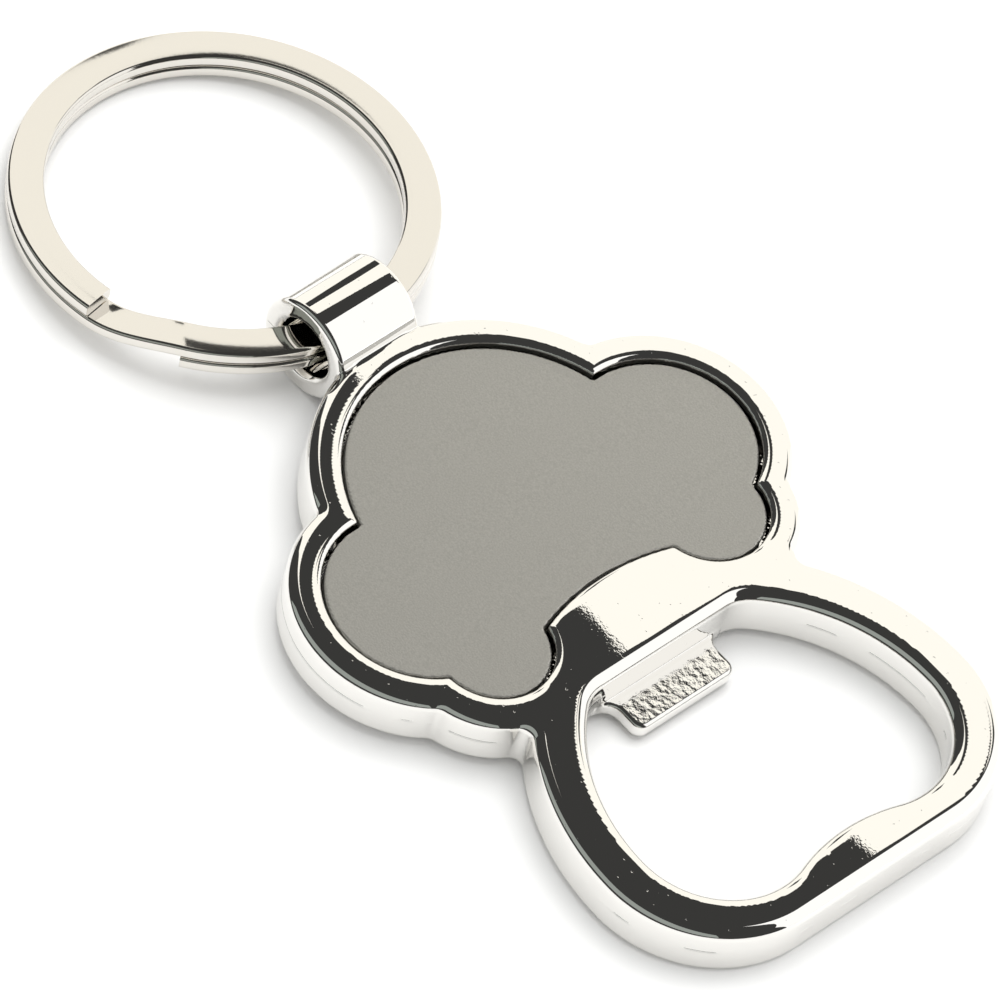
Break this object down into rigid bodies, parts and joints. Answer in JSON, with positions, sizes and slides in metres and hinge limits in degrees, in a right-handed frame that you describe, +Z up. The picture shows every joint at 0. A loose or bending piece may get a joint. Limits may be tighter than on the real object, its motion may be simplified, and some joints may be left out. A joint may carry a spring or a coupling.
{
  "type": "keychain bottle opener",
  "caption": "Pocket bottle opener with a cloud-shaped name plate in a plated metal body, a loop with a lip for crown caps, and a split ring for keys.",
  "frame": {"origin": "on the surface that the opener lies on, under the centre of its bounding box", "axes": "+X along the opener from the split ring to the loop, +Z up out of the front face; the body leans by 1.2 degrees because it rests on its lug and on the far end of its loop"},
  "size_m": [0.0887, 0.044, 0.0082],
  "materials": {
    "plated_body": "bright nickel plating on a zinc casting, slightly uneven",
    "satin_plate": "fine grained satin grey",
    "adhesive": "matte foam tape",
    "ring_steel": "nickel-plated flat spring steel, semi-bright"
  },
  "bodies": {
    "opener": {"opener_body": "plated_body", "face_plate": "satin_plate", "plate_adhesive": "adhesive"},
    "ring": {"split_ring": "ring_steel"}
  },
  "joints": [
    {"name": "ring_swing", "type": "hinge", "parent": "opener", "child": "ring", "pos_m": [-0.01419, 0, 0.00395], "axis": [0, 1, 0], "range_deg": [-150, 166]}
  ]
}
